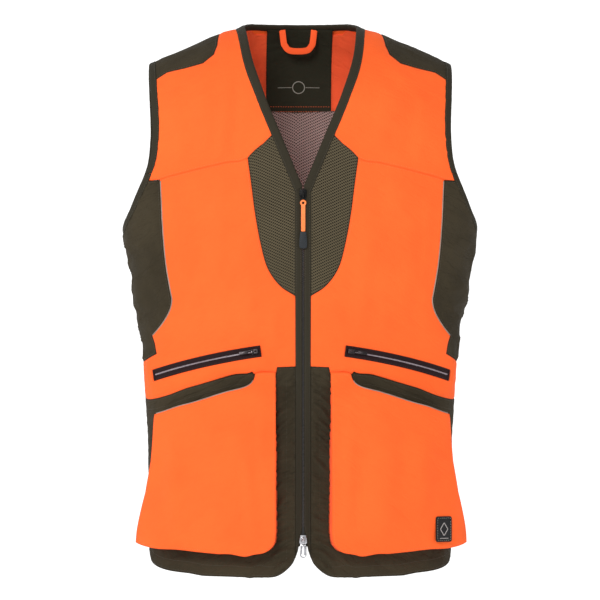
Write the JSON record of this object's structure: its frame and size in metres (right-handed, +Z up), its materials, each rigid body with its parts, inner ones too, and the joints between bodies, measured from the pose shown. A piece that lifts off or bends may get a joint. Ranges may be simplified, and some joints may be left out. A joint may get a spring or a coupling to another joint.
{
  "type": "hunting vest",
  "caption": "Sleeveless hunting vest with a two-way front zip, zipped side pockets, bellows cargo pockets, mesh chest panels, reflective piping and a hanger loop inside the neck.",
  "frame": {"origin": "middle of the line between the two side neck points, where the wearer's shoulders or a coat hanger carry the vest", "axes": "+Z up, -Y the front of the vest, +X the wearer's left"},
  "size_m": [0.4636, 0.2263, 0.717],
  "materials": {
    "orange_shell": "blaze orange polyester softshell, fine plain weave, matt",
    "orange_tape": "blaze orange woven tape",
    "olive_shell": "brown olive polyester, fine weave, matt",
    "olive_binding": "brown olive folded binding tape",
    "olive_label": "brown olive plain weave with two rows of orange topstitching",
    "olive_mesh": "brown olive air mesh with small diamond holes",
    "lining_mesh": "pinkish grey knitted mesh lining",
    "welt_tape": "very dark brown zip tape",
    "reflective": "silver grey reflective piping",
    "zip_coil": "moulded coil",
    "zip_chain": "black moulded teeth",
    "black_metal": "black lacquer",
    "silver_metal": "nickel plate",
    "grey_rubber": "moulded grip, satin",
    "black_rubber": "moulded badge, satin"
  },
  "bodies": {
    "back": {"back_panel_upper": "orange_shell", "back_panel_lower": "olive_shell", "neck_binding": "olive_binding", "back_neck_facing": "orange_shell", "back_lining": "lining_mesh", "label_panel": "olive_label", "armhole_binding_left": "olive_binding", "shoulder_patch_left": "olive_shell", "yoke_left": "orange_shell", "side_panel_left": "olive_shell", "armhole_binding_right": "olive_binding", "shoulder_patch_right": "olive_shell", "yoke_right": "orange_shell", "side_panel_right": "olive_shell"},
    "front_left": {"front_panel_left": "orange_shell", "side_piping_left": "reflective", "mesh_panel_left": "olive_mesh", "base_panel_left": "olive_shell", "zip_facing_left": "olive_shell", "neck_binding_front_left": "olive_binding", "zip_tape_left": "welt_tape", "zip_teeth_left": "zip_chain", "welt_left": "welt_tape", "pocket_teeth_left": "zip_coil", "pocket_bag_left": "welt_tape", "front_lining_left": "lining_mesh", "cargo_gusset_left": "orange_shell", "retainer_box": "silver_metal"},
    "front_right": {"front_panel_right": "orange_shell", "side_piping_right": "reflective", "mesh_panel_right": "olive_mesh", "base_panel_right": "olive_shell", "zip_facing_right": "olive_shell", "neck_binding_front_right": "olive_binding", "zip_tape_right": "welt_tape", "zip_teeth_right": "zip_chain", "welt_right": "welt_tape", "pocket_teeth_right": "zip_coil", "pocket_bag_right": "welt_tape", "front_lining_right": "lining_mesh", "cargo_gusset_right": "orange_shell", "insertion_pin": "silver_metal"},
    "main_slider": {"main_slider": "black_metal"},
    "main_pull": {"main_pull_cord": "orange_tape", "main_pull_tip": "grey_rubber"},
    "bottom_slider": {"bottom_slider": "silver_metal"},
    "bottom_pull": {"bottom_pull": "silver_metal"},
    "pocket_slider_left": {"pocket_slider_left": "silver_metal"},
    "pocket_pull_left": {"pocket_pull_left": "silver_metal"},
    "cargo_left": {"cargo_panel_left": "orange_shell", "cargo_piping_left": "reflective", "badge_patch": "black_rubber"},
    "pocket_slider_right": {"pocket_slider_right": "silver_metal"},
    "pocket_pull_right": {"pocket_pull_right": "silver_metal"},
    "cargo_right": {"cargo_panel_right": "orange_shell", "cargo_piping_right": "reflective"},
    "hanger_loop": {"hanger_loop": "orange_tape"}
  },
  "joints": [
    {"name": "front_left_opens", "type": "hinge", "parent": "back", "child": "front_left", "pos_m": [0.212, -0.01, -0.45], "axis": [0, 0, 1], "range_deg": [0, 25]},
    {"name": "front_right_opens", "type": "hinge", "parent": "back", "child": "front_right", "pos_m": [-0.212, -0.01, -0.45], "axis": [0, 0, 1], "range_deg": [-25, 0]},
    {"name": "main_slider_runs", "type": "slide", "parent": "front_left", "child": "main_slider", "axis": [0, 0, -1], "range_m": [0, 0.3]},
    {"name": "main_pull_swings", "type": "hinge", "parent": "main_slider", "child": "main_pull", "pos_m": [0, -0.1029, -0.216], "axis": [-1, 0, 0], "range_deg": [0, 170]},
    {"name": "bottom_slider_runs", "type": "slide", "parent": "front_left", "child": "bottom_slider", "axis": [0, 0, 1], "range_m": [0, 0.09]},
    {"name": "bottom_pull_swings", "type": "hinge", "parent": "bottom_slider", "child": "bottom_pull", "pos_m": [0, -0.1029, -0.66], "axis": [-1, 0, 0], "range_deg": [0, 170]},
    {"name": "pocket_slider_left_runs", "type": "hinge", "parent": "front_left", "child": "pocket_slider_left", "pos_m": [0.0493, 0.10111, -0.46188], "axis": [0.1395, 0.2197, 0.9655], "range_deg": [0, 38.47]},
    {"name": "pocket_pull_left_swings", "type": "hinge", "parent": "pocket_slider_left", "child": "pocket_pull_left", "pos_m": [0.06432, -0.10292, -0.41763], "axis": [-0.1395, -0.2197, -0.9655], "range_deg": [0, 150]},
    {"name": "cargo_left_opens", "type": "hinge", "parent": "front_left", "child": "cargo_left", "pos_m": [0.11, -0.1, -0.69], "axis": [1, 0, 0], "range_deg": [0, 12], "stiffness_Nm_per_rad": 0.8},
    {"name": "pocket_slider_right_runs", "type": "hinge", "parent": "front_right", "child": "pocket_slider_right", "pos_m": [-0.0493, 0.10111, -0.46188], "axis": [0.1395, -0.2197, -0.9655], "range_deg": [0, 38.47]},
    {"name": "pocket_pull_right_swings", "type": "hinge", "parent": "pocket_slider_right", "child": "pocket_pull_right", "pos_m": [-0.06432, -0.10292, -0.41763], "axis": [-0.1395, 0.2197, 0.9655], "range_deg": [0, 150]},
    {"name": "cargo_right_opens", "type": "hinge", "parent": "front_right", "child": "cargo_right", "pos_m": [-0.11, -0.1, -0.69], "axis": [1, 0, 0], "range_deg": [0, 12], "stiffness_Nm_per_rad": 0.8},
    {"name": "hanger_loop_swings", "type": "hinge", "parent": "back", "child": "hanger_loop", "pos_m": [0, 0.057, -0.003], "axis": [-1, 0, 0], "range_deg": [0, 120]}
  ],
  "couplings": [
    {"joint": "front_right_opens", "follows": "front_left_opens", "ratio": -1}
  ]
}
